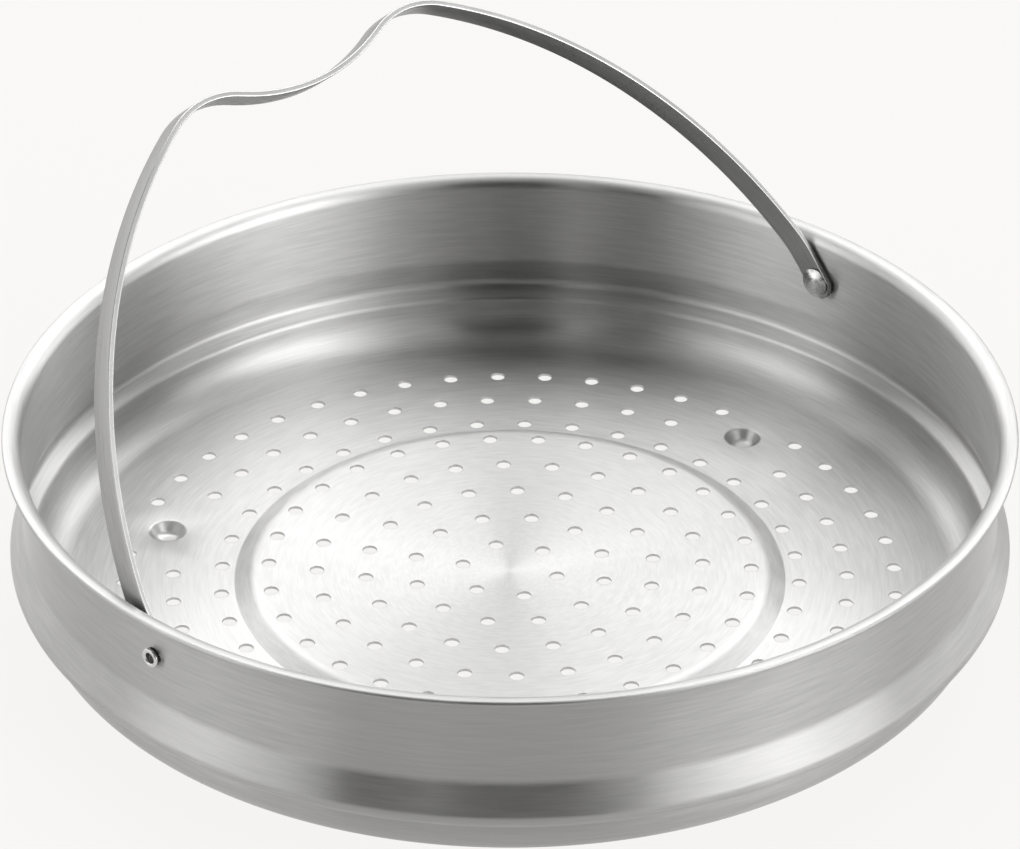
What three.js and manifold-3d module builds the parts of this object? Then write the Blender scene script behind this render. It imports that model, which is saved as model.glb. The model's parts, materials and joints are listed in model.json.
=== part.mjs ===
// A steamer basket: the pierced, deep-drawn insert of a stock pot, with a folding bail on two rivets.
// Millimetres, +Z up. The origin is under the middle of the base, on the surface that the feet stand on.
// The bail turns about an axis along X, and leans towards +Y.
import * as THREE from "three";
import { mergeGeometries, mergeVertices } from "three/addons/utils/BufferGeometryUtils.js";
import Module from "manifold-3d";

const wasm = await Module();
wasm.setup();

const degrees = THREE.MathUtils.degToRad;

// Sheet, rim and neck. Radii of bends in the sheet are taken at the middle of its thickness.
const SHEET = 0.6;
const RIM_RADIUS = 103;
const FLANGE_WIDTH = 3.3; // from the outside of the neck to the rim's edge
const RIM_BEND = 2.4; // neck to flange
const HEM_WIDTH = 0.45; // sheet folded back flat under the flange
const BODY_DEPTH = 39.8; // rim's top above the underside of the base

// Rest bead, by which the basket hangs in a pot, and the wall below it
const BEAD_REACH = 3; // beyond the outside of the neck
const FLARE_BEND = 4; // hollow bend that leaves the neck
const FLARE_SLOPE = degrees(26); // straight flare, from upright
const SWELL_BEND = 1.5; // flare to the bead's face
const BEAD_FACE = 0.45; // upright face of the bead
const BEAD_BEND = 1.6; // tight lower edge of the bead
const BEAD_UNDERCUT = degrees(64); // turn of the bead's underside towards the wall
const CREASE_BEND = 0.9; // from the bead's underside to the wall
const WALL_INSET = 0.45; // wall below the bead, inside the neck
const WALL_HEIGHT = 1.15; // straight wall between crease and corner
const CORNER_BEND = 7.6; // wall to base

// Base: a flat shelf, a step up and a disc that falls to its middle as a shallow cone
const SHELF_WIDTH = 34;
const STEP_RISE = 2.3;
const STEP_SLOPE = degrees(30);
const STEP_FOOT_BEND = 1;
const STEP_BROW_BEND = 4;
const DISC_FALL = 1.45;

// Steam holes, in rings about the middle
const HOLE_DIAMETER = 3;
const RING_PITCH = 10;
const HOLES_ADDED_PER_RING = 6;
const TURNED_RING = 7; // this ring is turned by half the spacing of its holes
const HOLE_LAND = 1.5; // least sheet between a hole and the corner, the step or a foot

// Feet, pressed down into the shelf
const FOOT_COUNT = 3;
const FOOT_INSET = 17.35; // from the corner bend to the middle of a foot
const FOOT_WIDTH = 8.5;
const FOOT_DEPTH = 2.2;
const FOOT_SLOPE = degrees(50);
const FOOT_MOUTH_BEND = 0.5;
const FOOT_BOWL_BEND = 2.4;

// Bail: one strip, bent in a plane to an arch with a dipped grip
const BAIL_WIDTH = 5.6;
const BAIL_THICKNESS = 1.2;
const BAIL_GAP = 0.6; // between strip and neck
const BAIL_LEAN = degrees(39.8); // from upright
const BAIL_TAIL = 4; // strip below the pivot
const BAIL_TAIL_CHAMFER = 1.8;
const BAIL_FOOT_RISE = 5; // straight strip above the pivot
const ANKLE_BEND = 30;
const ANKLE_TURN = degrees(13.1);
const ARM_BEND = 117.7;
const ARM_TURN = degrees(48.7);
const SHOULDER_BEND = 21.2;
const SHOULDER_TURN = degrees(51.6);

// Rivets: a domed head inside, a shank through strip and neck, and a tubular end flared outside
const PIVOT_DROP = 10; // pivot axis below the rim's top
const SHANK_DIAMETER = 3.2;
const RIVET_PLAY = 0.3; // clearance round the shank, under the head and under the flared end
const HEAD_DIAMETER = 6.4;
const HEAD_HEIGHT = 1.3;
const FLARED_DIAMETER = 4.1;
const FLARED_LENGTH = 1;
const RIVET_BORE = 2.2;
const RIVET_BORE_DEPTH = 2.4;

// Fineness of the facets
const BASKET_SIDES = 44;
const FOOT_SIDES = 12;
const HOLE_SIDES = 8;
const RIVET_SIDES = 16;
const CHORD_ERROR = 0.15;

// Places that follow from the sizes above
const CUT_MARGIN = 1; // how far a cutter reaches past the sheet that it cuts
const baseMiddle = FOOT_DEPTH + SHEET / 2;
const rimTop = FOOT_DEPTH + BODY_DEPTH;
const pivotHeight = rimTop - PIVOT_DROP;
const neckOutside = RIM_RADIUS - FLANGE_WIDTH;
const neckMiddle = neckOutside - SHEET / 2;
const wallMiddle = neckMiddle - WALL_INSET;
const shelfEdge = wallMiddle - CORNER_BEND;
const footRing = shelfEdge - FOOT_INSET;
const bailFoot = neckMiddle - SHEET / 2 - BAIL_GAP - BAIL_THICKNESS / 2;

// A line of straight runs and bends that sheet or strip follows in a plane, from x, y towards a heading.
class BentLine {
  constructor(x, y, heading) {
    this.stations = [{ x, y, heading }];
  }

  get end() {
    return this.stations.at(-1);
  }

  run(length) {
    const { x, y, heading } = this.end;
    this.stations.push({ x: x + length * Math.cos(heading), y: y + length * Math.sin(heading), heading });
    return this;
  }

  // Turns to the left by an angle, or to the right by a negative one.
  bend(radius, turn) {
    const { x, y, heading } = this.end;
    const side = Math.sign(turn) * radius;
    const centreX = x - side * Math.sin(heading);
    const centreY = y + side * Math.cos(heading);
    const steps = Math.ceil(Math.abs(turn) / (2 * Math.acos(1 - Math.min(1, CHORD_ERROR / radius))));
    for (let i = 1; i <= steps; i++) {
      const onward = heading + (turn * i) / steps;
      this.stations.push({
        x: centreX + side * Math.sin(onward),
        y: centreY - side * Math.cos(onward),
        heading: onward,
      });
    }
    return this;
  }

  // The line moved to the left by an offset.
  skin(offset) {
    return this.stations.map(
      ({ x, y, heading }) =>
        new THREE.Vector2(x - offset * Math.sin(heading), y + offset * Math.cos(heading)),
    );
  }
}

// Length of a slope that, with a bend at either end, moves a line sideways by a given distance.
function slopeRun(distance, bends, angle) {
  return (distance - bends * (1 - Math.cos(angle))) / Math.sin(angle);
}

// A three.js geometry as a solid to cut and join.
function solid(geometry) {
  const bare = new THREE.BufferGeometry();
  bare.setAttribute("position", geometry.getAttribute("position"));
  bare.setIndex(geometry.getIndex());
  const merged = mergeVertices(bare);
  const triVerts = [];
  const corners = merged.index.array;
  for (let i = 0; i < corners.length; i += 3) {
    const [a, b, c] = corners.slice(i, i + 3);
    if (a !== b && b !== c && c !== a) {
      triVerts.push(a, b, c);
    }
  }
  const vertProperties = merged.getAttribute("position").array;
  return new wasm.Manifold(
    new wasm.Mesh({ numProp: 3, vertProperties, triVerts: new Uint32Array(triVerts) }),
  );
}

// A solid as a three.js geometry.
function geometryOf(body) {
  const { vertProperties, triVerts } = body.getMesh();
  const geometry = new THREE.BufferGeometry();
  geometry.setAttribute("position", new THREE.BufferAttribute(vertProperties, 3));
  geometry.setIndex(new THREE.BufferAttribute(triVerts, 1));
  return geometry;
}

// A profile of radius and height turned about Z.
function turned(profile, sides) {
  return new THREE.LatheGeometry(profile, sides).rotateX(Math.PI / 2);
}

// A cylinder along X, to bore both sides of a piece at the pivot.
function pivotBore(height) {
  const radius = SHANK_DIAMETER / 2 + RIVET_PLAY;
  const length = 2 * (RIM_RADIUS + CUT_MARGIN);
  const bore = new THREE.CylinderGeometry(radius, radius, length, RIVET_SIDES);
  return solid(bore.rotateZ(Math.PI / 2).translate(0, 0, height));
}

// The step between shelf and disc: its width, and the radius where the disc begins
const stepBends = STEP_BROW_BEND + STEP_FOOT_BEND;
const stepRun = slopeRun(STEP_RISE, stepBends, STEP_SLOPE);
const stepWidth = stepBends * Math.sin(STEP_SLOPE) + stepRun * Math.cos(STEP_SLOPE);
const stepFoot = shelfEdge - SHELF_WIDTH;
const discEdge = stepFoot - stepWidth;

// The basket's sheet from the middle of the disc to the fold of the hem.
function basketLine() {
  const undersideRun = slopeRun(BEAD_REACH + WALL_INSET, BEAD_BEND + CREASE_BEND, BEAD_UNDERCUT);
  const flareRun = slopeRun(BEAD_REACH, SWELL_BEND + FLARE_BEND, FLARE_SLOPE);
  const line = new BentLine(0, baseMiddle + STEP_RISE, 0)
    .run(discEdge)
    .bend(STEP_BROW_BEND, -STEP_SLOPE)
    .run(stepRun)
    .bend(STEP_FOOT_BEND, STEP_SLOPE)
    .run(SHELF_WIDTH)
    .bend(CORNER_BEND, Math.PI / 2)
    .run(WALL_HEIGHT)
    .bend(CREASE_BEND, -BEAD_UNDERCUT)
    .run(undersideRun)
    .bend(BEAD_BEND, BEAD_UNDERCUT)
    .run(BEAD_FACE)
    .bend(SWELL_BEND, FLARE_SLOPE)
    .run(flareRun)
    .bend(FLARE_BEND, -FLARE_SLOPE);
  const neckTop = rimTop - SHEET / 2 - RIM_BEND;
  line.run(neckTop - line.end.y).bend(RIM_BEND, -Math.PI / 2);
  return line.run(RIM_RADIUS - SHEET - line.end.x);
}

// The flange's edge: the sheet turns over and lies back under itself.
function hemOutline() {
  const foldRadius = RIM_RADIUS - SHEET;
  const rawEdge = foldRadius - HEM_WIDTH;
  const fold = new BentLine(foldRadius, rimTop - 2 * SHEET, 0).bend(SHEET, Math.PI);
  return [
    new THREE.Vector2(rawEdge, rimTop - SHEET),
    new THREE.Vector2(rawEdge, rimTop - 2 * SHEET),
    ...fold.skin(0).slice(0, -1),
  ];
}

// Centres of the feet, and of the steam holes that keep clear of corner, step and feet.
const aroundAxis = (radius, angle) =>
  new THREE.Vector2(radius * Math.cos(angle), radius * Math.sin(angle));

const footCentres = Array.from({ length: FOOT_COUNT }, (_, i) =>
  aroundAxis(footRing, (2 * Math.PI * i) / FOOT_COUNT),
);

function holeCentres() {
  const reach = HOLE_DIAMETER / 2 + HOLE_LAND;
  const centres = [];
  for (let ring = 1; ring * RING_PITCH + reach < shelfEdge; ring++) {
    const radius = ring * RING_PITCH;
    const onStep = radius + HOLE_DIAMETER / 2 > discEdge && radius - HOLE_DIAMETER / 2 < stepFoot;
    const count = ring * HOLES_ADDED_PER_RING;
    const start = ring === TURNED_RING ? 0.5 : 0;
    for (let i = 0; i < count && !onStep; i++) {
      const centre = aroundAxis(radius, (2 * Math.PI * (i + start)) / count);
      const clear = footCentres.every((foot) => foot.distanceTo(centre) > FOOT_WIDTH / 2 + reach);
      if (clear) {
        centres.push(centre);
      }
    }
  }
  return centres;
}

function steamHoles() {
  const radius = HOLE_DIAMETER / 2;
  const height = STEP_RISE + SHEET + 2 * CUT_MARGIN;
  const punch = new THREE.CylinderGeometry(radius, radius, height, HOLE_SIDES).rotateX(Math.PI / 2);
  const middle = baseMiddle + STEP_RISE / 2;
  return solid(mergeGeometries(holeCentres().map(({ x, y }) => punch.clone().translate(x, y, middle))));
}

// A foot is a shallow cup in the sheet. The full cup is joined on, and its hollow is taken out.
function footSolids() {
  const run = slopeRun(FOOT_DEPTH, FOOT_MOUTH_BEND + FOOT_BOWL_BEND, FOOT_SLOPE);
  const line = new BentLine(FOOT_WIDTH / 2, baseMiddle, Math.PI)
    .bend(FOOT_MOUTH_BEND, FOOT_SLOPE)
    .run(run)
    .bend(FOOT_BOWL_BEND, -FOOT_SLOPE);
  line.run(line.end.x);
  const onAxis = (height) => new THREE.Vector2(0, height);
  const cup = [...line.skin(SHEET / 2).reverse(), onAxis(baseMiddle - SHEET / 2)];
  const hollow = [...line.skin(-SHEET / 2).reverse(), onAxis(baseMiddle + SHEET / 2)];
  return { cup: turned(cup, FOOT_SIDES), hollow: turned(hollow, FOOT_SIDES) };
}

function basketGeometry() {
  const line = basketLine();
  const outside = line.skin(-SHEET / 2).slice(0, -1);
  const inside = line.skin(SHEET / 2).reverse();
  let body = solid(turned([...outside, ...hemOutline(), ...inside], BASKET_SIDES));
  const { cup, hollow } = footSolids();
  for (const { x, y } of footCentres) {
    body = body.add(solid(cup.clone().translate(x, y, 0)));
    body = body.subtract(solid(hollow.clone().translate(x, y, 0)));
  }
  body = body.subtract(steamHoles()).subtract(pivotBore(pivotHeight));
  return pressedHollow(geometryOf(body));
}

// The disc is pierced while it is flat, and then pressed hollow.
function pressedHollow(geometry) {
  const position = geometry.getAttribute("position");
  for (let i = 0; i < position.count; i++) {
    const share = Math.hypot(position.getX(i), position.getY(i)) / discEdge;
    if (share < 1) {
      position.setZ(i, position.getZ(i) - DISC_FALL * (1 - share));
    }
  }
  return geometry;
}

// The bail stands upright in the XZ plane, with its pivot axis along X through the origin.
function bailGeometry() {
  const half = new BentLine(bailFoot, -BAIL_TAIL, Math.PI / 2)
    .run(BAIL_TAIL + BAIL_FOOT_RISE)
    .bend(ANKLE_BEND, ANKLE_TURN)
    .bend(ARM_BEND, ARM_TURN)
    .bend(SHOULDER_BEND, SHOULDER_TURN);
  const dip = half.end.heading - Math.PI;
  half.bend(half.end.x / Math.sin(dip), -dip);
  const mirrored = (points) => points.map(({ x, y }) => new THREE.Vector2(-x, y));
  const outside = half.skin(-BAIL_THICKNESS / 2);
  const inside = half.skin(BAIL_THICKNESS / 2);
  const outline = [
    ...outside,
    ...mirrored(outside).reverse().slice(1),
    ...mirrored(inside),
    ...inside.reverse().slice(1),
  ];
  const arch = new THREE.ExtrudeGeometry(new THREE.Shape(outline), {
    depth: BAIL_WIDTH,
    bevelEnabled: false,
  });
  arch.translate(0, 0, -BAIL_WIDTH / 2).rotateX(Math.PI / 2);
  const top = Math.max(...outside.map(({ y }) => y));
  return geometryOf(solid(arch).intersect(bailFront(top)).subtract(pivotBore(0)));
}

// The strip's outline seen along the pivot axis: as wide as the strip, with chamfered tails.
function bailFront(top) {
  const edge = BAIL_WIDTH / 2;
  const outline = [
    [edge - BAIL_TAIL_CHAMFER, -BAIL_TAIL],
    [edge, -BAIL_TAIL + BAIL_TAIL_CHAMFER],
    [edge, top + CUT_MARGIN],
    [-edge, top + CUT_MARGIN],
    [-edge, -BAIL_TAIL + BAIL_TAIL_CHAMFER],
    [-edge + BAIL_TAIL_CHAMFER, -BAIL_TAIL],
  ].map(([y, z]) => new THREE.Vector2(y, z));
  const length = 2 * (bailFoot + BAIL_THICKNESS);
  const front = new THREE.ExtrudeGeometry(new THREE.Shape(outline), {
    depth: length,
    bevelEnabled: false,
  });
  const alongX = new THREE.Matrix4().makeBasis(
    new THREE.Vector3(0, 1, 0),
    new THREE.Vector3(0, 0, 1),
    new THREE.Vector3(1, 0, 0),
  );
  return solid(front.translate(0, 0, -length / 2).applyMatrix4(alongX));
}

// A rivet's profile runs outwards from the tip of its head to the floor of its bore, then turns about X.
function rivetGeometry() {
  const headBase = bailFoot - BAIL_THICKNESS / 2 - RIVET_PLAY;
  const headRadius = HEAD_DIAMETER / 2;
  const domeRadius = (headRadius ** 2 + HEAD_HEIGHT ** 2) / (2 * HEAD_HEIGHT);
  const domeTurn = Math.asin(headRadius / domeRadius);
  const dome = new BentLine(0, headBase - HEAD_HEIGHT, 0).bend(domeRadius, domeTurn);
  const flareStart = neckOutside + RIVET_PLAY;
  const flareEnd = flareStart + FLARED_LENGTH;
  const profile = [
    ...dome.skin(0),
    new THREE.Vector2(SHANK_DIAMETER / 2, headBase),
    new THREE.Vector2(SHANK_DIAMETER / 2, flareStart),
    new THREE.Vector2(FLARED_DIAMETER / 2, flareStart + FLARED_LENGTH / 2),
    new THREE.Vector2(FLARED_DIAMETER / 2, flareEnd),
    new THREE.Vector2(RIVET_BORE / 2, flareEnd),
    new THREE.Vector2(RIVET_BORE / 2, flareEnd - RIVET_BORE_DEPTH),
    new THREE.Vector2(0, flareEnd - RIVET_BORE_DEPTH),
  ];
  return new THREE.LatheGeometry(profile, RIVET_SIDES).rotateZ(-Math.PI / 2);
}

const brushedSteel = new THREE.MeshStandardMaterial({ color: 0xc9c9c7, roughness: 0.34, metalness: 1 });
const stripSteel = new THREE.MeshStandardMaterial({ color: 0xbdbdbc, roughness: 0.28, metalness: 1 });
const rivetSteel = new THREE.MeshStandardMaterial({ color: 0xb4b4b3, roughness: 0.22, metalness: 1 });

function piece(name, geometry, material) {
  const mesh = new THREE.Mesh(geometry, material);
  mesh.name = name;
  return mesh;
}

const steamerBasket = new THREE.Group();
steamerBasket.add(piece("basket", basketGeometry(), brushedSteel));

const pivot = new THREE.Group();
pivot.position.z = pivotHeight;
steamerBasket.add(pivot);

const bail = piece("bail", bailGeometry(), stripSteel);
bail.rotation.x = -BAIL_LEAN;
pivot.add(bail);

const rivetRight = piece("rivet_right", rivetGeometry(), rivetSteel);
const rivetLeft = piece("rivet_left", rivetGeometry(), rivetSteel);
rivetLeft.rotation.z = Math.PI;
pivot.add(rivetRight, rivetLeft);

export default steamerBasket;
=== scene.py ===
import json
import math

import bmesh
import bpy
from mathutils import Matrix, Vector
from mathutils.geometry import delaunay_2d_cdt


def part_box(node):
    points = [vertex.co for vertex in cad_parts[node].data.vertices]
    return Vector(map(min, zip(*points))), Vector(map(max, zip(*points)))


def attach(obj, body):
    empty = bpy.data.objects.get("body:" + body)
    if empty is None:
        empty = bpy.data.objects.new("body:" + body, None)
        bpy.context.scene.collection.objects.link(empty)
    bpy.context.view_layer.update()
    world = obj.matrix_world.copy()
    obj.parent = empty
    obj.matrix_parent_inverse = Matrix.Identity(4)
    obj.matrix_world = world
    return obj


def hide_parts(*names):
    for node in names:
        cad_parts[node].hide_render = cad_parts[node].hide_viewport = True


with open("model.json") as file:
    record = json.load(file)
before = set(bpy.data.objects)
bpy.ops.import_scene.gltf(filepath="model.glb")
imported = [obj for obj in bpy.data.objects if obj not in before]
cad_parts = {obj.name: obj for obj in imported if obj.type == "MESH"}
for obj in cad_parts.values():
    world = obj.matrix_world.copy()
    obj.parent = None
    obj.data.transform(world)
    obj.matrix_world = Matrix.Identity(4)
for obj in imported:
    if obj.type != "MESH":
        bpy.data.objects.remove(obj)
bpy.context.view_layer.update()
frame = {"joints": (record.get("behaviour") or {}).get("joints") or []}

# A steamer basket of brushed steel with a folding bail, in metres, +Z up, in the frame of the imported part.
MM = 0.001

# Sheet, rim and neck of the basket. Bends in the sheet are measured at the middle of its thickness.
SHEET = 0.6 * MM
RIM_RADIUS = 103 * MM
FLANGE_WIDTH = 3.3 * MM
RIM_BEND = 2.4 * MM
HEM_WIDTH = 0.45 * MM

# Rest bead and the wall below it
BEAD_REACH = 3 * MM
FLARE_BEND = 4 * MM
FLARE_SLOPE = math.radians(26)
SWELL_BEND = 1.5 * MM
BEAD_FACE = 0.45 * MM
BEAD_BEND = 1.6 * MM
BEAD_UNDERCUT = math.radians(64)
CREASE_BEND = 0.9 * MM
WALL_INSET = 0.45 * MM
WALL_HEIGHT = 1.15 * MM
CORNER_BEND = 7.6 * MM

# Base: a flat shelf, a step up and a disc that falls to its middle as a shallow cone
SHELF_WIDTH = 34 * MM
STEP_RISE = 2.3 * MM
STEP_SLOPE = math.radians(30)
STEP_FOOT_BEND = 1 * MM
STEP_BROW_BEND = 4 * MM
DISC_FALL = 1.45 * MM

# Steam holes, in rings about the middle
HOLE_RADIUS = 1.5 * MM
HOLE_ROUNDING = 0.12 * MM
HOLE_SIDES = 24
RING_PITCH = 10 * MM
HOLES_ADDED_PER_RING = 6
TURNED_RING = 7
HOLE_LAND = 1.5 * MM

# Feet, pressed down into the shelf
FOOT_COUNT = 3
FOOT_INSET = 17.35 * MM
FOOT_RADIUS = 4.25 * MM
FOOT_DEPTH = 2.2 * MM
FOOT_SLOPE = math.radians(50)
FOOT_MOUTH_BEND = 0.5 * MM
FOOT_BOWL_BEND = 2.4 * MM
FOOT_SIDES = 48

# Bail: one strip, bent in a plane to an arch with a dipped grip
BAIL_WIDTH = 5.6 * MM
BAIL_THICKNESS = 1.2 * MM
BAIL_EDGE_ROUNDING = 0.22 * MM
LARGEST_ROUNDING_SHARE = 0.45
BAIL_GAP = 0.6 * MM
BAIL_LEAN = math.radians(39.8)
BAIL_TAIL = 4 * MM
BAIL_TAIL_CHAMFER = 1.8 * MM
BAIL_FOOT_RISE = 5 * MM
ANKLE_BEND = 30 * MM
ANKLE_TURN = math.radians(13.1)
ARM_BEND = 117.7 * MM
ARM_TURN = math.radians(48.7)
SHOULDER_BEND = 21.2 * MM
SHOULDER_TURN = math.radians(51.6)

# Rivets: a domed head inside, a shank, and a tubular end flared outside
SHANK_RADIUS = 1.6 * MM
RIVET_PLAY = 0.3 * MM
HEAD_RADIUS = 3.2 * MM
HEAD_HEIGHT = 1.3 * MM
HEAD_EDGE = 0.25 * MM
FLARED_RADIUS = 2.05 * MM
FLARED_LENGTH = 1 * MM
FLARED_LIP = 0.35 * MM
RIVET_BORE_RADIUS = 1.1 * MM
RIVET_BORE_DEPTH = 2.4 * MM
RIVET_SIDES = 64

# Fineness of the meshes
BASKET_SIDES = 288
CHORD_ERROR = 0.006 * MM
ROUNDING_STEPS = 4
SHARP_EDGE = math.radians(38)
WELD = 0.001 * MM

# Places that follow from the sizes and from the frame
rim_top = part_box("basket")[1].z
pivot_height = frame["joints"][0]["pos_m"][2]
base_middle = FOOT_DEPTH + SHEET / 2
neck_outside = RIM_RADIUS - FLANGE_WIDTH
neck_middle = neck_outside - SHEET / 2
shelf_edge = neck_middle - WALL_INSET - CORNER_BEND
foot_ring = shelf_edge - FOOT_INSET
bail_foot = neck_middle - SHEET / 2 - BAIL_GAP - BAIL_THICKNESS / 2

# The camera stands in front of the left rivet and looks down across the rim.
VIEW_TURN = math.radians(-46.93)
VIEW_ELEVATION = math.radians(31.367)
VIEW_DISTANCE = 956.5 * MM
VIEW_AIM_DROP = 2.74 * MM
LENS = 166.06
SENSOR = 36


def place_camera():
    data = bpy.data.cameras.new("camera")
    data.lens = LENS
    data.sensor_width = SENSOR
    camera = bpy.data.objects.new("camera", data)
    bpy.context.scene.collection.objects.link(camera)
    rim_centre = Vector((0, 0, rim_top))
    away = Vector((math.sin(VIEW_TURN), -math.cos(VIEW_TURN), 0))
    height = Vector((0, 0, math.sin(VIEW_ELEVATION)))
    camera.location = rim_centre + VIEW_DISTANCE * (math.cos(VIEW_ELEVATION) * away + height)
    aim = rim_centre - Vector((0, 0, VIEW_AIM_DROP))
    camera.rotation_euler = (aim - camera.location).to_track_quat("-Z", "Y").to_euler()
    bpy.context.scene.camera = camera


class BentLine:
    """Straight runs and bends that sheet or strip follows in a plane, from x, y towards a heading."""

    def __init__(self, x, y, heading):
        self.stations = [(x, y, heading)]

    def run(self, length):
        x, y, heading = self.stations[-1]
        self.stations.append((x + length * math.cos(heading), y + length * math.sin(heading), heading))
        return self

    def bend(self, radius, turn):
        """Turns to the left by an angle, or to the right by a negative one."""
        x, y, heading = self.stations[-1]
        side = math.copysign(radius, turn)
        centre_x = x - side * math.sin(heading)
        centre_y = y + side * math.cos(heading)
        steps = math.ceil(abs(turn) / (2 * math.acos(1 - CHORD_ERROR / radius)))
        for i in range(1, steps + 1):
            turned = heading + turn * i / steps
            self.stations.append(
                (centre_x + side * math.sin(turned), centre_y - side * math.cos(turned), turned)
            )
        return self

    def skin(self, offset):
        """The line moved to the left by an offset."""
        return [(x - offset * math.sin(h), y + offset * math.cos(h)) for x, y, h in self.stations]


def slope_run(distance, bends, angle):
    """Length of a slope that, with a bend at either end, moves a line sideways by a distance."""
    return (distance - bends * (1 - math.cos(angle))) / math.sin(angle)


step_bends = STEP_BROW_BEND + STEP_FOOT_BEND
step_run = slope_run(STEP_RISE, step_bends, STEP_SLOPE)
step_foot = shelf_edge - SHELF_WIDTH
disc_edge = step_foot - step_bends * math.sin(STEP_SLOPE) - step_run * math.cos(STEP_SLOPE)


def disc_fall(radius):
    """How far the disc has fallen below its edge at a radius."""
    return DISC_FALL * max(0.0, 1 - radius / disc_edge)


def around(radius, angle, centre=(0.0, 0.0)):
    return centre[0] + radius * math.cos(angle), centre[1] + radius * math.sin(angle)


def circle(radius, sides, centre=(0.0, 0.0)):
    return [around(radius, 2 * math.pi * i / sides, centre) for i in range(sides)]


def level(radius):
    """The fall of a level place, at any radius."""
    return 0.0


def turn_about(bm, profile, sides, centre=(0.0, 0.0), fall=level):
    """Turns a profile of radius and height about an upright axis. A point on the axis is one vertex."""
    rings = []
    for radius, height in profile:
        spots = circle(radius, sides, centre) if radius > WELD else [centre]
        rings.append([bm.verts.new((x, y, height - fall(math.hypot(x, y)))) for x, y in spots])
    for low, high in zip(rings, rings[1:]):
        for i in range(sides):
            j = i + 1
            corners = [low[i % len(low)], low[j % len(low)], high[j % len(high)], high[i % len(high)]]
            bm.faces.new(list(dict.fromkeys(corners)))


def pierced_sheet(bm, edges, openings, seeds, height):
    """Fills both skins of a level sheet between its round edges and around its openings."""
    points = []
    lines = []
    owner = []
    for number, loop in enumerate(edges + openings):
        first = len(points)
        points += loop
        lines += [(first + i, first + (i + 1) % len(loop)) for i in range(len(loop))]
        owner += [number] * len(loop)
    points += seeds
    owner += [-1] * len(seeds)
    in_mm = [Vector(point) / MM for point in points]
    spots, _, faces, sources, _, _ = delaunay_2d_cdt(in_mm, lines, [], 0, WELD / MM)
    outer_edge = 0
    for offset in (SHEET / 2, -SHEET / 2):
        skin = []
        for spot in spots:
            x, y = spot * MM
            skin.append(bm.verts.new((x, y, height + offset - disc_fall(math.hypot(x, y)))))
        for face in faces:
            owners = {owner[sources[corner][0]] for corner in face}
            inside_opening = len(owners) == 1 and owners.isdisjoint({outer_edge, -1})
            if not inside_opening:
                bm.faces.new([skin[corner] for corner in face])


def finished_mesh(bm, name):
    """Welds a mesh, turns its faces outwards and shades it smooth up to its sharp edges."""
    bmesh.ops.remove_doubles(bm, verts=bm.verts, dist=WELD)
    bmesh.ops.recalc_face_normals(bm, faces=bm.faces)
    mesh = bpy.data.meshes.new(name)
    bm.to_mesh(mesh)
    bm.free()
    mesh.shade_smooth()
    mesh.set_sharp_from_angle(angle=SHARP_EDGE)
    piece = bpy.data.objects.new(name, mesh)
    bpy.context.scene.collection.objects.link(piece)
    return piece


def bore_pivot(piece, along):
    """Bores a piece for the rivets' shanks, from side to side through the pivot."""
    bm = bmesh.new()
    radius = SHANK_RADIUS + RIVET_PLAY
    length = 2 * RIM_RADIUS + 2 * FLANGE_WIDTH
    bmesh.ops.create_cone(
        bm, cap_ends=True, segments=RIVET_SIDES, radius1=radius, radius2=radius, depth=length
    )
    mesh = bpy.data.meshes.new("bore")
    bm.to_mesh(mesh)
    bm.free()
    bore = bpy.data.objects.new("bore", mesh)
    bpy.context.scene.collection.objects.link(bore)
    bore.matrix_world = along
    cut = piece.modifiers.new("bore", "BOOLEAN")
    cut.operation = "DIFFERENCE"
    cut.solver = "EXACT"
    cut.object = bore
    depsgraph = bpy.context.evaluated_depsgraph_get()
    bored = bpy.data.meshes.new_from_object(piece.evaluated_get(depsgraph))
    piece.modifiers.clear()
    piece.data = bored
    bored.set_sharp_from_angle(angle=SHARP_EDGE)
    bpy.data.objects.remove(bore)


def foot_centres():
    return [around(foot_ring, 2 * math.pi * i / FOOT_COUNT) for i in range(FOOT_COUNT)]


def hole_centres():
    """Centres of the steam holes, ring by ring, clear of the feet."""
    centres = []
    reach = HOLE_RADIUS + HOLE_LAND
    for ring in range(1, int((shelf_edge - reach) / RING_PITCH) + 1):
        count = ring * HOLES_ADDED_PER_RING
        start = 0.5 if ring == TURNED_RING else 0
        for i in range(count):
            centre = around(ring * RING_PITCH, 2 * math.pi * (i + start) / count)
            if all(math.dist(centre, foot) > FOOT_RADIUS + reach for foot in foot_centres()):
                centres.append(centre)
    return centres


def hole_profile(height):
    """A punched hole's wall from the upper skin to the lower one, with a rounded edge above."""
    round_edge = HOLE_RADIUS + HOLE_ROUNDING
    upper = height + SHEET / 2
    lower = height - SHEET / 2
    profile = [(round_edge + HOLE_ROUNDING, upper)]
    for i in range(ROUNDING_STEPS + 1):
        angle = math.radians(90) * i / ROUNDING_STEPS
        profile.append(
            (round_edge - HOLE_ROUNDING * math.sin(angle), upper - HOLE_ROUNDING * (1 - math.cos(angle)))
        )
    profile.append((HOLE_RADIUS, lower + HOLE_ROUNDING / 2))
    profile.append((HOLE_RADIUS + HOLE_ROUNDING / 2, lower))
    profile.append((round_edge + HOLE_ROUNDING, lower))
    return profile


def ring_seeds(inner, outer):
    """Points between the rings of holes and clear of the feet, which keep the sheet's faces small."""
    seeds = []
    for ring in range(0, int(outer / RING_PITCH) + 1):
        radius = (ring + 0.5) * RING_PITCH
        if inner + HOLE_LAND < radius < outer - HOLE_LAND:
            seeds += circle(radius, 2 * HOLES_ADDED_PER_RING * (ring + 1))
    clear = FOOT_RADIUS + HOLE_LAND
    return [seed for seed in seeds if all(math.dist(seed, foot) > clear for foot in foot_centres())]


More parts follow.
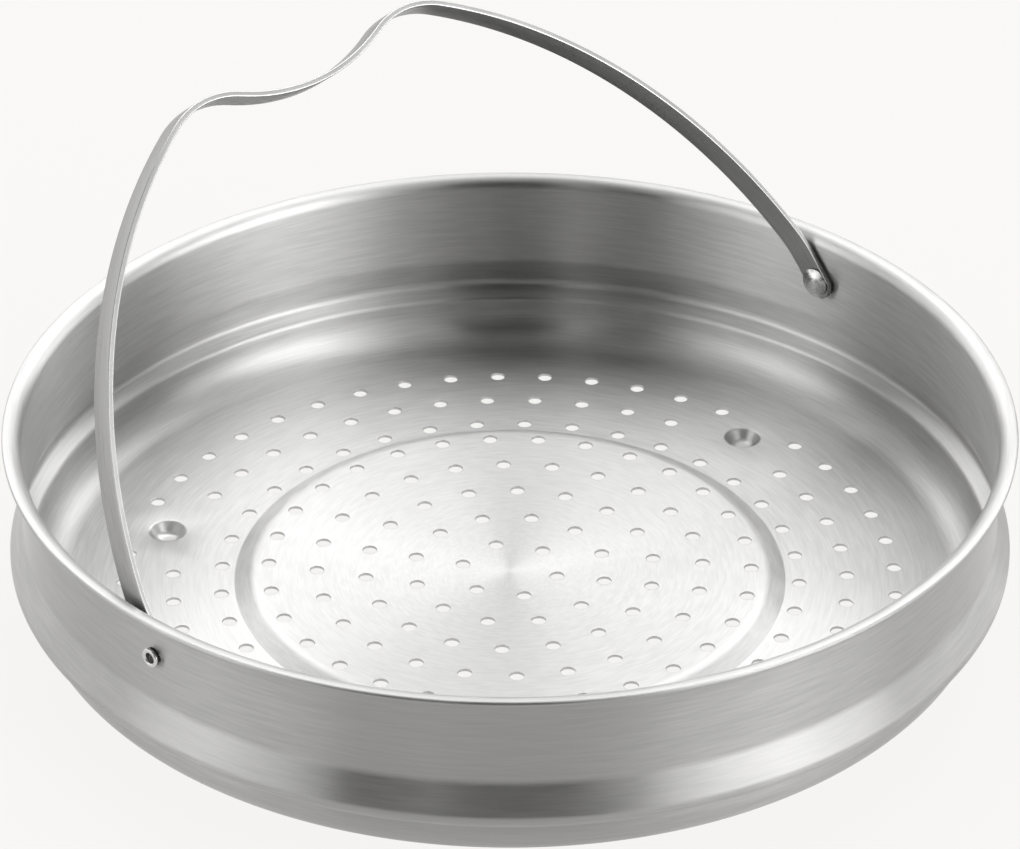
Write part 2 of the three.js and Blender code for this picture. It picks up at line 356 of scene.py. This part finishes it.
def wall_profile():
    """The drawn wall from the shelf's edge up inside, over the hem and down outside."""
    underside = slope_run(BEAD_REACH + WALL_INSET, BEAD_BEND + CREASE_BEND, BEAD_UNDERCUT)
    flare = slope_run(BEAD_REACH, SWELL_BEND + FLARE_BEND, FLARE_SLOPE)
    line = BentLine(shelf_edge, base_middle, 0)
    line.bend(CORNER_BEND, math.pi / 2).run(WALL_HEIGHT)
    line.bend(CREASE_BEND, -BEAD_UNDERCUT).run(underside).bend(BEAD_BEND, BEAD_UNDERCUT)
    line.run(BEAD_FACE).bend(SWELL_BEND, FLARE_SLOPE).run(flare).bend(FLARE_BEND, -FLARE_SLOPE)
    neck_foot = line.stations[-1][1]
    neck_top = rim_top - SHEET / 2 - RIM_BEND
    below_pivot = pivot_height - HEAD_RADIUS
    for stop in (below_pivot, pivot_height + HEAD_RADIUS, neck_top):
        line.run(stop - max(neck_foot, line.stations[-1][1]))
    line.bend(RIM_BEND, -math.pi / 2)
    fold = RIM_RADIUS - SHEET
    line.run(fold - line.stations[-1][0])
    hem = BentLine(fold - HEM_WIDTH, rim_top - 2 * SHEET, 0).run(HEM_WIDTH).bend(SHEET, math.pi)
    raw_edge = [(fold - HEM_WIDTH, rim_top - SHEET)]
    inside = line.skin(SHEET / 2)
    outside = line.skin(-SHEET / 2)[:-1]
    return inside[:-1] + hem.skin(0)[::-1] + raw_edge + outside[::-1]


def make_basket():
    bm = bmesh.new()
    turn_about(bm, wall_profile(), BASKET_SIDES)
    step = BentLine(disc_edge, base_middle + STEP_RISE, 0)
    step.bend(STEP_BROW_BEND, -STEP_SLOPE).run(step_run).bend(STEP_FOOT_BEND, STEP_SLOPE)
    for offset in (SHEET / 2, -SHEET / 2):
        turn_about(bm, step.skin(offset), BASKET_SIDES)

    foot = BentLine(FOOT_RADIUS, base_middle, math.pi).bend(FOOT_MOUTH_BEND, FOOT_SLOPE)
    foot.run(slope_run(FOOT_DEPTH, FOOT_MOUTH_BEND + FOOT_BOWL_BEND, FOOT_SLOPE))
    foot.bend(FOOT_BOWL_BEND, -FOOT_SLOPE)
    foot.run(foot.stations[-1][0])
    feet = foot_centres()
    for centre in feet:
        for offset in (SHEET / 2, -SHEET / 2):
            turn_about(bm, foot.skin(offset), FOOT_SIDES, centre)

    holes = hole_centres()
    on_disc = [centre for centre in holes if math.hypot(*centre) < disc_edge]
    on_shelf = [centre for centre in holes if math.hypot(*centre) > step_foot]
    brim = HOLE_RADIUS + 2 * HOLE_ROUNDING
    for centres, height in ((on_disc, base_middle + STEP_RISE), (on_shelf, base_middle)):
        for centre in centres:
            turn_about(bm, hole_profile(height), HOLE_SIDES, centre, disc_fall)
    pierced_sheet(
        bm,
        [circle(disc_edge, BASKET_SIDES)],
        [circle(brim, HOLE_SIDES, centre) for centre in on_disc],
        ring_seeds(0, disc_edge),
        base_middle + STEP_RISE,
    )
    pierced_sheet(
        bm,
        [circle(shelf_edge, BASKET_SIDES)],
        [circle(step_foot, BASKET_SIDES)]
        + [circle(brim, HOLE_SIDES, centre) for centre in on_shelf]
        + [circle(FOOT_RADIUS, FOOT_SIDES, centre) for centre in feet],
        ring_seeds(step_foot, shelf_edge),
        base_middle,
    )
    basket = finished_mesh(bm, "basket_drawn")
    bore_pivot(basket, Matrix.Translation((0, 0, pivot_height)) @ Matrix.Rotation(math.pi / 2, 4, "Y"))
    return basket


def bail_line():
    """The middle of the strip from one tail to the other, as stations with headings."""
    half = BentLine(bail_foot, -BAIL_TAIL, math.pi / 2)
    for length in (BAIL_EDGE_ROUNDING, BAIL_TAIL_CHAMFER, BAIL_TAIL - BAIL_TAIL_CHAMFER, BAIL_FOOT_RISE):
        half.run(length)
    half.bend(ANKLE_BEND, ANKLE_TURN).bend(ARM_BEND, ARM_TURN).bend(SHOULDER_BEND, SHOULDER_TURN)
    x, _, heading = half.stations[-1]
    dip = heading - math.pi
    half.bend(x / math.sin(dip), -dip)
    mirrored = [(-x, y, 2 * math.pi - heading) for x, y, heading in half.stations[-2::-1]]
    return half.stations + mirrored


def strip_section(width, thickness):
    """A rectangle with rounded corners, as offsets across the strip and through it."""
    section = []
    rounding = min(BAIL_EDGE_ROUNDING, LARGEST_ROUNDING_SHARE * thickness)
    for quarter in range(4):
        side = 1 if quarter in (0, 3) else -1
        face = 1 if quarter in (0, 1) else -1
        for i in range(ROUNDING_STEPS + 1):
            angle = math.radians(90) * (quarter + i / ROUNDING_STEPS)
            section.append(
                (
                    side * (width / 2 - rounding) + rounding * math.cos(angle),
                    face * (thickness / 2 - rounding) + rounding * math.sin(angle),
                )
            )
    return section


def make_bail():
    """The strip in its own plane: X along the pivot axis, Y up the bail, Z across the strip."""
    bm = bmesh.new()
    rings = []
    for x, y, heading in bail_line():
        chamfered = max(0.0, BAIL_TAIL_CHAMFER - (y + BAIL_TAIL))
        end = BAIL_EDGE_ROUNDING if y < WELD - BAIL_TAIL else 0
        section = strip_section(BAIL_WIDTH - 2 * (chamfered + end), BAIL_THICKNESS - 2 * end)
        left = Vector((-math.sin(heading), math.cos(heading), 0))
        middle = Vector((x, y, 0))
        corners = [middle + through * left + Vector((0, 0, across)) for across, through in section]
        rings.append([bm.verts.new(corner) for corner in corners])
    for ring, following in zip(rings, rings[1:]):
        for i in range(len(ring)):
            j = (i + 1) % len(ring)
            bm.faces.new((ring[i], ring[j], following[j], following[i]))
    bm.faces.new(rings[0])
    bm.faces.new(rings[-1])
    bail = finished_mesh(bm, "bail_strip")
    bore_pivot(bail, Matrix.Rotation(math.pi / 2, 4, "Y"))
    lean = Matrix.Rotation(math.pi / 2 - BAIL_LEAN, 4, "X")
    bail.matrix_world = Matrix.Translation((0, 0, pivot_height)) @ lean
    return bail


def make_rivet(name, turn):
    """A rivet with its axis along its own Z, turned to lie along the pivot axis."""
    head_base = bail_foot - BAIL_THICKNESS / 2 - RIVET_PLAY
    crown = HEAD_HEIGHT - HEAD_EDGE
    dome_radius = (HEAD_RADIUS**2 + crown**2) / (2 * crown)
    dome = BentLine(0, head_base - HEAD_HEIGHT, 0).bend(dome_radius, math.asin(HEAD_RADIUS / dome_radius))
    flare = neck_outside + RIVET_PLAY
    end = flare + FLARED_LENGTH
    lip = BentLine(FLARED_RADIUS, end - FLARED_LIP, math.pi / 2).bend(FLARED_LIP, math.pi / 2)
    bore_edge = BentLine(RIVET_BORE_RADIUS + FLARED_LIP, end, math.pi).bend(FLARED_LIP, math.pi / 2)
    profile = dome.skin(0)
    profile += [(HEAD_RADIUS, head_base), (SHANK_RADIUS, head_base), (SHANK_RADIUS, flare)]
    profile += lip.skin(0) + bore_edge.skin(0)
    profile += [(RIVET_BORE_RADIUS, end - RIVET_BORE_DEPTH), (0, end - RIVET_BORE_DEPTH)]
    bm = bmesh.new()
    turn_about(bm, profile, RIVET_SIDES)
    rivet = finished_mesh(bm, name)
    rivet.matrix_world = Matrix.Translation((0, 0, pivot_height)) @ Matrix.Rotation(turn, 4, "Y")
    return rivet


place_camera()
basket = make_basket()
bail = make_bail()
rivet_right = make_rivet("rivet_right_set", math.pi / 2)
rivet_left = make_rivet("rivet_left_set", -math.pi / 2)


# Steels: each colour in a dull stroke and in a bright one
INNER_STEEL = ((0.56, 0.56, 0.557, 1), (0.68, 0.678, 0.671, 1))
# The outside's steel is darker as painted shade, for the dim reflections that the outer wall shows.
OUTSIDE_PAINTED_SHADE_STEEL = ((0.37, 0.37, 0.367, 1), (0.46, 0.458, 0.454, 1))
BAIL_STEEL = ((0.295, 0.295, 0.293, 1), (0.37, 0.368, 0.365, 1))
RIVET_STEEL = ((0.52, 0.52, 0.516, 1), (0.7, 0.698, 0.69, 1))
# The bail's narrow edges are painted near white: a painted highlight.
EDGE_PAINTED_HIGHLIGHT = (0.82, 0.818, 0.81, 1)

# Roughness in a dull stroke, what a bright one adds to it, and what a sheared edge takes away
WALL_ROUGHNESS = 0.3
WALL_WEAR = 0.05
BASE_ROUGHNESS = 0.38
BASE_WEAR = 0.07
BAIL_ROUGHNESS = 0.26
BAIL_WEAR = 0.1
SHEARED_POLISH = 0.06
RIVET_ROUGHNESS = 0.2
RIVET_WEAR = 0.12

# Grain: widths of the strokes across themselves, and the depth that they press into the steel
BASKET_FINE_STROKE = 0.2 * MM
BASKET_BROAD_STROKE = 0.8 * MM
BAIL_FINE_STROKE = 0.16 * MM
BAIL_BROAD_STROKE = 0.7 * MM
RIVET_RING = 0.15 * MM
GRAIN_DEPTH = 0.003 * MM
RIVET_GRAIN_DEPTH = 0.004 * MM
STROKE_DETAIL = 2
STROKE_RANGE = (0.28, 0.72)
QUARTER_TURN = 0.25

# The base's finish takes over within this width inside the shelf's edge
BASE_BLEND = 8 * MM

# How far a face looks outwards where the outside's painted shade begins and is full, and how much more on
# the rim
PAINTED_SHADE_START = 0.1
PAINTED_SHADE_FULL = 0.4
RIM_PAINTED_SHADE_DELAY = 0.5


class Shade:
    """One output of a shader node. Arithmetic on it adds Math nodes beside that node."""

    def __init__(self, finish, socket):
        self.finish = finish
        self.socket = socket

    def output(self, name):
        """Another output of the same node."""
        return Shade(self.finish, self.socket.node.outputs[name])

    def math(self, operation, first, second):
        return self.finish.node("ShaderNodeMath", {"operation": operation}, {0: first, 1: second})

    def __add__(self, other):
        return self.math("ADD", self, other)

    def __radd__(self, other):
        return self.math("ADD", other, self)

    def __sub__(self, other):
        return self.math("SUBTRACT", self, other)

    def __rsub__(self, other):
        return self.math("SUBTRACT", other, self)

    def __mul__(self, other):
        return self.math("MULTIPLY", self, other)

    def __rmul__(self, other):
        return self.math("MULTIPLY", other, self)


class Finish:
    """A node tree that is filled from its first node to its output."""

    def __init__(self, tree):
        self.tree = tree
        tree.nodes.clear()

    def node(self, kind, settings=None, sockets=None, output=0):
        """Adds a node, sets it up, then gives its sockets their values or links."""
        node = self.tree.nodes.new(kind)
        for name, value in (settings or {}).items():
            setattr(node, name, value)
        for name, value in (sockets or {}).items():
            if isinstance(value, Shade):
                self.tree.links.new(value.socket, node.inputs[name])
            else:
                node.inputs[name].default_value = value
        return Shade(self, node.outputs[output]) if node.outputs else None

    def vector(self, operation, first, second=(0, 0, 0), output=0):
        return self.node("ShaderNodeVectorMath", {"operation": operation}, {0: first, 1: second}, output)

    def between(self, value, low, high):
        """From 0 at a low value to 1 at a high one, smoothly, also where the low one is the greater."""
        ends = {"Value": value, "From Min": low, "From Max": high}
        return self.node("ShaderNodeMapRange", {"interpolation_type": "SMOOTHSTEP"}, ends)

    def strokes(self, place):
        """Streaks between 0 and 1 at a place that is already stretched along the strokes."""
        sockets = {"Vector": place, "Scale": 1, "Detail": STROKE_DETAIL}
        noise = self.node("ShaderNodeTexNoise", None, sockets)
        return self.between(noise, *STROKE_RANGE)

    def tint(self, factor, first, second):
        """A colour between two, by a factor from 0 to 1."""
        return self.node("ShaderNodeMix", {"data_type": "RGBA"}, {0: factor, 6: first, 7: second}, 2)


def new_finish(name):
    material = bpy.data.materials.new(name)
    material.use_nodes = True
    return material, Finish(material.node_tree)


def steel(finish, colour, roughness, grain, grain_depth, spread):
    """Bare steel. Spread is how far the grain stretches highlights across itself."""
    bump = finish.node("ShaderNodeBump", None, {"Height": grain, "Strength": 1, "Distance": grain_depth})
    return finish.node(
        "ShaderNodeBsdfPrincipled",
        None,
        {
            "Base Color": colour,
            "Metallic": 1,
            "Roughness": roughness,
            "Anisotropic": spread,
            "Anisotropic Rotation": QUARTER_TURN,
            "Normal": bump,
        },
    )


def basket_steel():
    """Sheet brushed round its axis: strokes follow the turning, and change along the drawn profile."""
    material, finish = new_finish("basket_steel")
    place = finish.node("ShaderNodeTexCoord", output="Object")
    flat = finish.vector("MULTIPLY", place, (1, 1, 0))
    bearing = finish.vector("NORMALIZE", flat)
    height = finish.node("ShaderNodeSeparateXYZ", None, {0: place}, "Z")
    radius = finish.vector("LENGTH", flat, output="Value")
    outward = finish.vector("DOT_PRODUCT", place.output("Normal"), bearing, "Value")
    along = radius + height
    on_base = finish.between(radius, shelf_edge, shelf_edge - BASE_BLEND)
    on_rim = finish.between(height, rim_top - RIM_BEND / 2, rim_top - RIM_BEND / 5)
    # Painted shade mask: faces that look outwards, later on the rim and never on the base, take the darker
    # steel.
    shade_delay = on_rim * RIM_PAINTED_SHADE_DELAY
    outside = finish.between(outward, PAINTED_SHADE_START + shade_delay, PAINTED_SHADE_FULL + shade_delay) * (1 - on_base)

    def strokes(laps, width):
        turned = finish.vector("MULTIPLY", bearing, (laps, laps, 0))
        across = finish.node("ShaderNodeCombineXYZ", None, {"Z": along * (1 / width)})
        return finish.strokes(finish.vector("ADD", turned, across))

    fine = strokes(laps=12, width=BASKET_FINE_STROKE)
    broad = strokes(laps=8, width=BASKET_BROAD_STROKE)
    worn = fine * 0.5 + broad * 0.5
    inner = finish.tint(worn, *INNER_STEEL)
    # The outer colour is painted shade: a darker copy of the same steel on the outward faces.
    outer = finish.tint(worn, *OUTSIDE_PAINTED_SHADE_STEEL)
    colour = finish.tint(outside, inner, outer)
    wall = steel(finish, colour, WALL_ROUGHNESS + worn * WALL_WEAR, fine, GRAIN_DEPTH, spread=1)
    base = steel(finish, colour, BASE_ROUGHNESS + worn * BASE_WEAR, fine, GRAIN_DEPTH, spread=0.8)
    surface = finish.node("ShaderNodeMixShader", None, {0: on_base + on_rim, 1: wall, 2: base})
    finish.node("ShaderNodeOutputMaterial", None, {"Surface": surface})
    return material


def bail_steel():
    """Strip brushed along its length. Its narrow edges are smoother, and painted bright as a highlight."""
    material, finish = new_finish("bail_steel")
    coordinates = finish.node("ShaderNodeTexCoord", output="Object")
    facing = finish.node("ShaderNodeSeparateXYZ", None, {0: coordinates.output("Normal")}, "Z")
    edge = facing * facing

    def strokes(per_metre, width):
        return finish.strokes(finish.vector("MULTIPLY", coordinates, (per_metre, per_metre, 1 / width)))

    fine = strokes(per_metre=80, width=BAIL_FINE_STROKE)
    broad = strokes(per_metre=30, width=BAIL_BROAD_STROKE)
    worn = fine * 0.6 + broad * 0.4
    # The narrow edges take a near-white colour, a painted highlight.
    colour = finish.tint(edge, finish.tint(worn, *BAIL_STEEL), EDGE_PAINTED_HIGHLIGHT)
    roughness = BAIL_ROUGHNESS + worn * BAIL_WEAR - edge * SHEARED_POLISH
    surface = steel(finish, colour, roughness, fine, GRAIN_DEPTH, spread=0.6)
    finish.node("ShaderNodeOutputMaterial", None, {"Surface": surface})
    return material


def rivet_steel():
    """Rivets polished in turning, with faint rings about their own axis."""
    material, finish = new_finish("rivet_steel")
    place = finish.node("ShaderNodeTexCoord", output="Object")
    flat = finish.vector("MULTIPLY", place, (1, 1, 0))
    bearing = finish.vector("NORMALIZE", flat)
    radius = finish.vector("LENGTH", flat, output="Value")
    across = finish.node("ShaderNodeCombineXYZ", None, {"Z": radius * (1 / RIVET_RING)})
    rings = finish.strokes(finish.vector("ADD", bearing, across))
    colour = finish.tint(rings, *RIVET_STEEL)
    roughness = RIVET_ROUGHNESS + rings * RIVET_WEAR
    surface = steel(finish, colour, roughness, rings, RIVET_GRAIN_DEPTH, spread=0.4)
    finish.node("ShaderNodeOutputMaterial", None, {"Surface": surface})
    return material


def dress(piece, node, body, material):
    """Gives a piece its finish and lets it stand for a node on that node's body."""
    piece.data.materials.clear()
    piece.data.materials.append(material)
    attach(piece, body)
    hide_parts(node)


# Studio: a pale floor with a soft shadow, and cards of light. Turns go from the camera to its right.
FLOOR_RADIUS = 12
FLOOR_COLOUR = (0.947, 0.939, 0.922, 1)
FLOOR_GLOW = 0.92
ROOM_LIGHT = 0.54
WHITE = (1, 1, 1, 1)


def seen(finish):
    """1 for what the camera sees, directly or through metal and glass, and 0 for other light."""
    path = finish.node("ShaderNodeLightPath", output="Is Camera Ray")
    either = path.math("MAXIMUM", path, path.output("Is Glossy Ray"))
    return path.math("MAXIMUM", either, path.output("Is Transmission Ray"))


def lay_floor():
    bm = bmesh.new()
    turn_about(bm, [(0, 0), (RIM_RADIUS, 0), (FLOOR_RADIUS, 0)], BASKET_SIDES)
    floor = finished_mesh(bm, "floor")
    material, finish = new_finish("floor_paper")
    paper = finish.node("ShaderNodeBsdfDiffuse", None, {"Color": FLOOR_COLOUR})
    glow = finish.node("ShaderNodeEmission", None, {"Color": FLOOR_COLOUR, "Strength": 1})
    surface = finish.node("ShaderNodeMixShader", None, {0: seen(finish) * FLOOR_GLOW, 1: paper, 2: glow})
    finish.node("ShaderNodeOutputMaterial", None, {"Surface": surface})
    floor.data.materials.append(material)


def toward(turn):
    """The level direction at a turn in degrees."""
    bearing = VIEW_TURN + math.radians(turn) - math.pi / 2
    return math.cos(bearing), math.sin(bearing), 0


def light_room():
    """Fills the world with soft-edged cards, light and dark, round the basket."""
    world = bpy.data.worlds.new("studio")
    world.use_nodes = True
    bpy.context.scene.world = world
    finish = Finish(world.node_tree)
    direction = finish.node("ShaderNodeTexCoord", output="Generated")
    bearing = finish.vector("NORMALIZE", finish.vector("MULTIPLY", direction, (1, 1, 0)))
    height = finish.node("ShaderNodeSeparateXYZ", None, {0: direction}, "Z")

    def rise(low, high):
        return finish.between(height, math.sin(math.radians(low)), math.sin(math.radians(high)))

    def card(turn, half_width, foot, head, edge):
        """A card by its middle, half width, foot, head and soft edge, in degrees seen from the basket."""
        across = finish.vector("DOT_PRODUCT", bearing, toward(turn), "Value")
        sides = [math.cos(math.radians(half_width + edge)), math.cos(math.radians(half_width - edge))]
        upright = rise(foot - edge, foot + edge) * rise(head + edge, head - edge)
        return finish.between(across, *sides) * upright

    # Bright cards behind, at the left, low and high at the right, and low along both sides
    bright = [
        card(turn=152, half_width=17, foot=27, head=78, edge=8) * 2.6,
        card(turn=-160, half_width=22, foot=24, head=70, edge=8) * 2.25,
        card(turn=-63, half_width=21, foot=-20, head=42, edge=8) * 1.0,
        card(turn=58, half_width=26, foot=-20, head=22, edge=8) * 2.15,
        card(turn=58, half_width=13, foot=11, head=72, edge=5) * 1.4,
        card(turn=-104, half_width=45, foot=-20, head=14, edge=8) * 1.4,
        card(turn=96, half_width=42, foot=-20, head=12, edge=8) * 2.5,
    ]
    # Dark cards low and high in front, a dim one beside them, a slot behind, and a dim ceiling
    dark = [
        card(turn=-8, half_width=29, foot=-30, head=23, edge=1.2),
        card(turn=1, half_width=15, foot=23, head=74, edge=1.2),
        card(turn=-37, half_width=14, foot=23, head=74, edge=5) * 0.75,
        card(turn=180, half_width=7, foot=-30, head=37, edge=5) * 0.5,
        rise(70, 73) * 0.43,
    ]
    light = sum(bright, ROOM_LIGHT)
    for shade in dark:
        light = light * (1 - shade)
    air = finish.node("ShaderNodeBackground", None, {"Color": WHITE, "Strength": light})
    finish.node("ShaderNodeOutputWorld", None, {"Surface": air})


dress(basket, "basket", "basket_body", basket_steel())
dress(bail, "bail", "bail_body", bail_steel())
rivet_finish = rivet_steel()
dress(rivet_right, "rivet_right", "basket_body", rivet_finish)
dress(rivet_left, "rivet_left", "basket_body", rivet_finish)
lay_floor()
light_room()
bpy.context.scene.view_settings.view_transform = "Standard"
